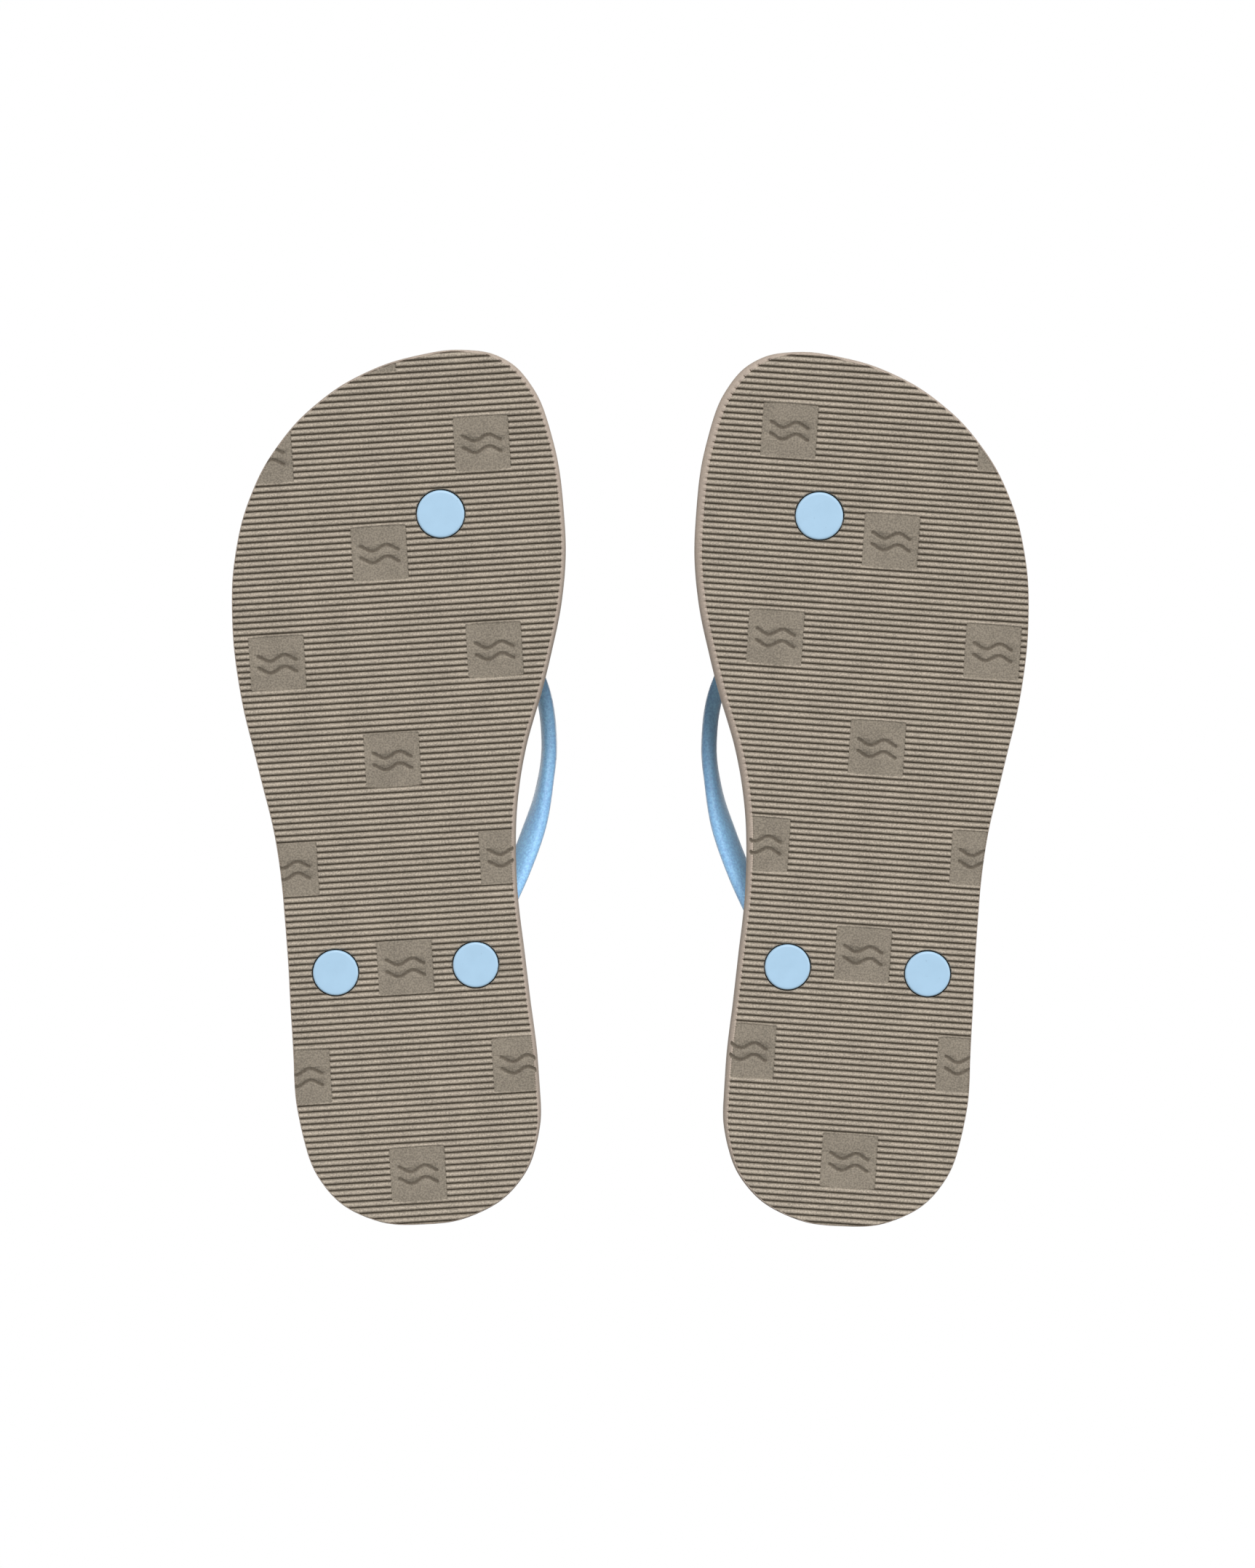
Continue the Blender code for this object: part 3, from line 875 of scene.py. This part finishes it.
def linear(color, scale=1.0):
    """Linear RGBA of an sRGB colour from 0 to 255."""
    values = [channel / 255 for channel in color]
    values = [v / 12.92 if v <= 0.04045 else ((v + 0.055) / 1.055) ** 2.4 for v in values]
    return (*[min(1.0, v * scale) for v in values], 1.0)


class Surface:
    """A Principled material with helpers for patterns in the piece's own coordinates."""

    def __init__(self, name, roughness, specular=0.5):
        self.material = bpy.data.materials.new(name)
        self.material.use_nodes = True
        self.tree = self.material.node_tree
        self.shader = self.tree.nodes["Principled BSDF"]
        self.shader.inputs["Roughness"].default_value = roughness
        self.shader.inputs["Specular IOR Level"].default_value = specular
        self.spot = self.tree.nodes.new("ShaderNodeTexCoord").outputs["Object"]

    def noise(self, size, detail=2.0, roughness=0.5):
        """Noise whose patches are about the stated size."""
        node = self.tree.nodes.new("ShaderNodeTexNoise")
        node.inputs["Scale"].default_value = 1 / size
        node.inputs["Detail"].default_value = detail
        node.inputs["Roughness"].default_value = roughness
        self.tree.links.new(self.spot, node.inputs["Vector"])
        return node.outputs["Fac"]

    def cells(self, size):
        """Distance to the nearest of scattered points, for pores."""
        node = self.tree.nodes.new("ShaderNodeTexVoronoi")
        node.inputs["Scale"].default_value = 1 / size
        self.tree.links.new(self.spot, node.inputs["Vector"])
        return node.outputs["Distance"]

    def height(self):
        """The height above the floor."""
        node = self.tree.nodes.new("ShaderNodeSeparateXYZ")
        self.tree.links.new(self.spot, node.inputs[0])
        return node.outputs["Z"]

    def ramp(self, value, start, end):
        """The value stretched from start..end to 0..1."""
        node = self.tree.nodes.new("ShaderNodeMapRange")
        node.inputs["From Min"].default_value = start
        node.inputs["From Max"].default_value = end
        self.tree.links.new(value, node.inputs["Value"])
        return node.outputs["Result"]

    def math(self, operation, first, second):
        """The result of a sum or product of two values."""
        node = self.tree.nodes.new("ShaderNodeMath")
        node.operation = operation
        for socket, value in zip(node.inputs, (first, second)):
            self.put(socket, value)
        return node.outputs[0]

    def put(self, socket, value):
        """Link a socket to the value, or set it where the value is plain."""
        if isinstance(value, bpy.types.NodeSocket):
            self.tree.links.new(value, socket)
        else:
            socket.default_value = value

    def mix(self, factor, first, second):
        """A colour between two."""
        node = self.tree.nodes.new("ShaderNodeMix")
        node.data_type = "RGBA"
        self.put(node.inputs["Factor"], factor)
        self.put(node.inputs[6], first)
        self.put(node.inputs[7], second)
        return node.outputs[2]

    def bump(self, height, distance, under=None):
        """A bump of the stated depth; under is a coarser bump below it."""
        node = self.tree.nodes.new("ShaderNodeBump")
        node.inputs["Strength"].default_value = 1.0
        node.inputs["Distance"].default_value = distance
        self.tree.links.new(height, node.inputs["Height"])
        if under:
            self.tree.links.new(under, node.inputs["Normal"])
        return node.outputs["Normal"]

    def speckled(self, color, spread, patches, grains):
        """The colour lightened and darkened, a little by soft patches and mostly by fine grains."""
        weight = self.math("ADD", self.math("MULTIPLY", patches, PATCH_SHARE),
                           self.math("MULTIPLY", grains, 1 - PATCH_SHARE))
        return self.mix(weight, linear(color, 1 - spread), linear(color, 1 + spread))

    def set(self, **inputs):
        """Set or link the shader's own inputs, and give back the material."""
        for name, value in inputs.items():
            self.put(self.shader.inputs[name.replace("_", " ")], value)
        return self.material


def foam_color(surface, color, spread):
    """Foam: soft patches, and fine light and dark grains."""
    patches = surface.ramp(surface.noise(FOAM_PATCH, 3.0), 0.3, 0.7)
    grains = surface.ramp(surface.noise(FOAM_GRAIN, 2.0), 0.36, 0.64)
    return surface.speckled(color, spread, patches, grains)


def foam_bump(surface, depth):
    """A closed-cell skin: fine pebbles with a few pores."""
    pores = surface.ramp(surface.cells(0.9 * MM), 0.0, 0.16)
    coarse = surface.bump(pores, depth * 0.7)
    return surface.bump(surface.noise(0.3 * MM, 2.0), depth, under=coarse)


def tread_foam(name):
    """Pale rib crests, with painted shade that darkens the rib flanks and sunk panels and, darkest of all,
    the grooves.
    """
    surface = Surface(name, 0.82, 0.3)
    height = surface.height()
    # Painted shade: from just below the crests down to the panel floor the colour turns to the darker sunk
    # shade.
    sunk = surface.ramp(height, 0.06 * MM, PANEL_DEPTH * 0.85)
    color = surface.mix(sunk, foam_color(surface, CREST, 0.34), foam_color(surface, SUNK_PAINTED_SHADE, 0.3))
    # Painted shade: below the panel floor the colour turns towards the dark groove shade, darkest at the
    # groove bottoms.
    groove_painted_shade = surface.ramp(height, PANEL_DEPTH + 0.04 * MM, GROOVE_DEPTH)
    color = surface.mix(groove_painted_shade, color, linear(GROOVE_SHADE))
    return surface.set(Base_Color=color, Normal=foam_bump(surface, 0.05 * MM))


def edge_foam(name):
    """The paler foam of the side walls."""
    surface = Surface(name, 0.85, 0.3)
    color = foam_color(surface, EDGE, 0.1)
    return surface.set(Base_Color=color, Normal=foam_bump(surface, 0.03 * MM))


def footbed_foam(name):
    """The footbed's matt foam."""
    surface = Surface(name, 0.8, 0.3)
    color = foam_color(surface, FOOTBED, 0.1)
    return surface.set(Base_Color=color, Normal=foam_bump(surface, 0.03 * MM))


def strap_skin(name):
    """Soft plastic with a fine light and dark grain, a faint bloom and small pits."""
    surface = Surface(name, 0.55, 0.8)
    surface.set(Sheen_Weight=0.8, Sheen_Roughness=0.5)
    patches = surface.ramp(surface.noise(12 * MM, 2.0), 0.3, 0.7)
    grains = surface.ramp(surface.noise(0.7 * MM, 3.0), 0.38, 0.62)
    color = surface.speckled(STRAP_BLUE, 0.2, patches, grains)
    pits = surface.bump(surface.ramp(surface.cells(0.9 * MM), 0.0, 0.5), 0.08 * MM)
    skin = surface.bump(surface.noise(0.5 * MM, 2.0), 0.12 * MM, under=pits)
    return surface.set(Base_Color=color, Normal=skin)


def plug_skin(name):
    """Smoother, paler plastic with a few scuffs."""
    surface = Surface(name, 0.4, 0.45)
    patches = surface.ramp(surface.noise(5 * MM, 2.0), 0.3, 0.7)
    color = surface.mix(patches, linear(PLUG_BLUE, 0.975), linear(PLUG_BLUE, 1.02))
    scuffs = surface.ramp(surface.noise(1.3 * MM, 4.0, 0.7), 0.66, 0.74)
    color = surface.mix(scuffs, color, linear(PLUG_BLUE, 0.8))
    return surface.set(Base_Color=color, Normal=surface.bump(surface.noise(0.6 * MM, 2.0), 0.008 * MM))


# ---------------------------------------------------------------------- stage

def add_camera():
    """A long lens straight below the soles, toes at the top of the picture."""
    data = bpy.data.cameras.new("camera")
    data.sensor_fit = "VERTICAL"
    data.sensor_height = SENSOR_HEIGHT
    data.lens = SENSOR_HEIGHT * CAMERA_DISTANCE / VIEW_HEIGHT
    camera = bpy.data.objects.new("camera", data)
    camera.location = (*CAMERA_CENTRE, -CAMERA_DISTANCE)
    camera.rotation_euler = (math.pi, 0.0, 0.0)
    bpy.context.scene.collection.objects.link(camera)
    bpy.context.scene.camera = camera


def stage_piece(name, edit, material):
    """A stage mesh that only the camera sees."""
    mesh = bpy.data.meshes.new(name)
    edit.to_mesh(mesh)
    edit.free()
    obj = add_object(name, mesh)
    mesh.materials.append(material)
    obj.visible_diffuse = False
    obj.visible_glossy = False
    obj.visible_transmission = False
    obj.visible_shadow = False
    return obj


def add_floor():
    """A pale floor that shows from above only, so that the soles show from below."""
    edit = bmesh.new()
    bmesh.ops.create_circle(edit, cap_ends=True, segments=96, radius=STAGE_RADIUS)
    material = bpy.data.materials.new("pale_floor")
    material.use_nodes = True
    tree = material.node_tree
    shader = tree.nodes["Principled BSDF"]
    shader.inputs["Base Color"].default_value = FLOOR_COLOR
    shader.inputs["Roughness"].default_value = 0.9
    shader.inputs["Specular IOR Level"].default_value = 0.1
    clear = tree.nodes.new("ShaderNodeBsdfTransparent")
    facing = tree.nodes.new("ShaderNodeNewGeometry")
    mix = tree.nodes.new("ShaderNodeMixShader")
    tree.links.new(facing.outputs["Backfacing"], mix.inputs[0])
    tree.links.new(shader.outputs[0], mix.inputs[1])
    tree.links.new(clear.outputs[0], mix.inputs[2])
    tree.links.new(mix.outputs[0], tree.nodes["Material Output"].inputs["Surface"])
    floor = stage_piece("floor", edit, material)
    floor.location.z = CAD_BOX[0].z - FLOOR_DROP


def add_backdrop():
    """A white dome over the floor."""
    edit = bmesh.new()
    bmesh.ops.create_uvsphere(edit, u_segments=64, v_segments=32, radius=STAGE_RADIUS)
    below = [vertex for vertex in edit.verts if vertex.co.z < -0.01]
    bmesh.ops.delete(edit, geom=below, context="VERTS")
    material = bpy.data.materials.new("backdrop_white")
    material.use_nodes = True
    material.cycles.emission_sampling = "NONE"
    tree = material.node_tree
    glow = tree.nodes.new("ShaderNodeEmission")
    glow.inputs["Strength"].default_value = 1.0
    tree.links.new(glow.outputs[0], tree.nodes["Material Output"].inputs["Surface"])
    stage_piece("backdrop", edit, material)


def add_lights():
    """Soft suns from the table above, and a dim white world."""
    for name, (place, width, strength) in LIGHTS.items():
        data = bpy.data.lights.new(name, "SUN")
        data.angle = math.radians(width)
        data.energy = strength
        light = bpy.data.objects.new(name, data)
        light.location = place
        light.rotation_euler = (-Vector(place)).to_track_quat("-Z", "Y").to_euler()
        bpy.context.scene.collection.objects.link(light)
    world = bpy.data.worlds.new("studio")
    bpy.context.scene.world = world
    world.use_nodes = True
    background = world.node_tree.nodes["Background"]
    background.inputs["Color"].default_value = (1.0, 1.0, 1.0, 1.0)
    background.inputs["Strength"].default_value = WORLD_STRENGTH


# ----------------------------------------------------------------- the shoes

def dress(obj, body, node, slot, *materials):
    """Give a piece its body and any further materials, and hide the CAD node that it stands for. The slot
    is not used.
    """
    for material in materials:
        obj.data.materials.append(material)
    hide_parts(node)
    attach(obj, body)


def build_shoe(side, looks):
    """The seven pieces of one shoe."""
    body = f"{side}_shoe"
    plugs = plug_places(side)
    loop = node_outline(f"{side}_midsole", plugs.values())
    tread = tread_sheet(side, loop, plugs, (looks["tread"], looks["edge"]))
    dress(tread, body, f"{side}_outsole", "outsole_foam")
    midsole = midsole_sheet(side, loop, (looks["edge"], looks["edge"]))
    dress(midsole, body, f"{side}_midsole", "sole_foam")
    footbed = footbed_sheet(side, loop, plugs, (looks["footbed"], looks["edge"]))
    dress(footbed, body, f"{side}_footbed", "footbed_foam")
    dress(thong_strap(side, plugs), body, f"{side}_strap", "strap_moulding", looks["strap"])
    for plug, (centre, radius) in plugs.items():
        disc = plug_disc(side, plug, centre, radius)
        dress(disc, body, f"{side}_{plug}", "plug_moulding", looks["plug"])


def main():
    bpy.context.scene.view_settings.view_transform = "Standard"
    add_camera()
    add_floor()
    add_backdrop()
    add_lights()
    looks = {
        "tread": tread_foam("tread_foam"),
        "edge": edge_foam("edge_foam"),
        "footbed": footbed_foam("footbed_foam"),
        "strap": strap_skin("strap_skin"),
        "plug": plug_skin("plug_skin"),
    }
    for side in HANDS:
        build_shoe(side, looks)


main()
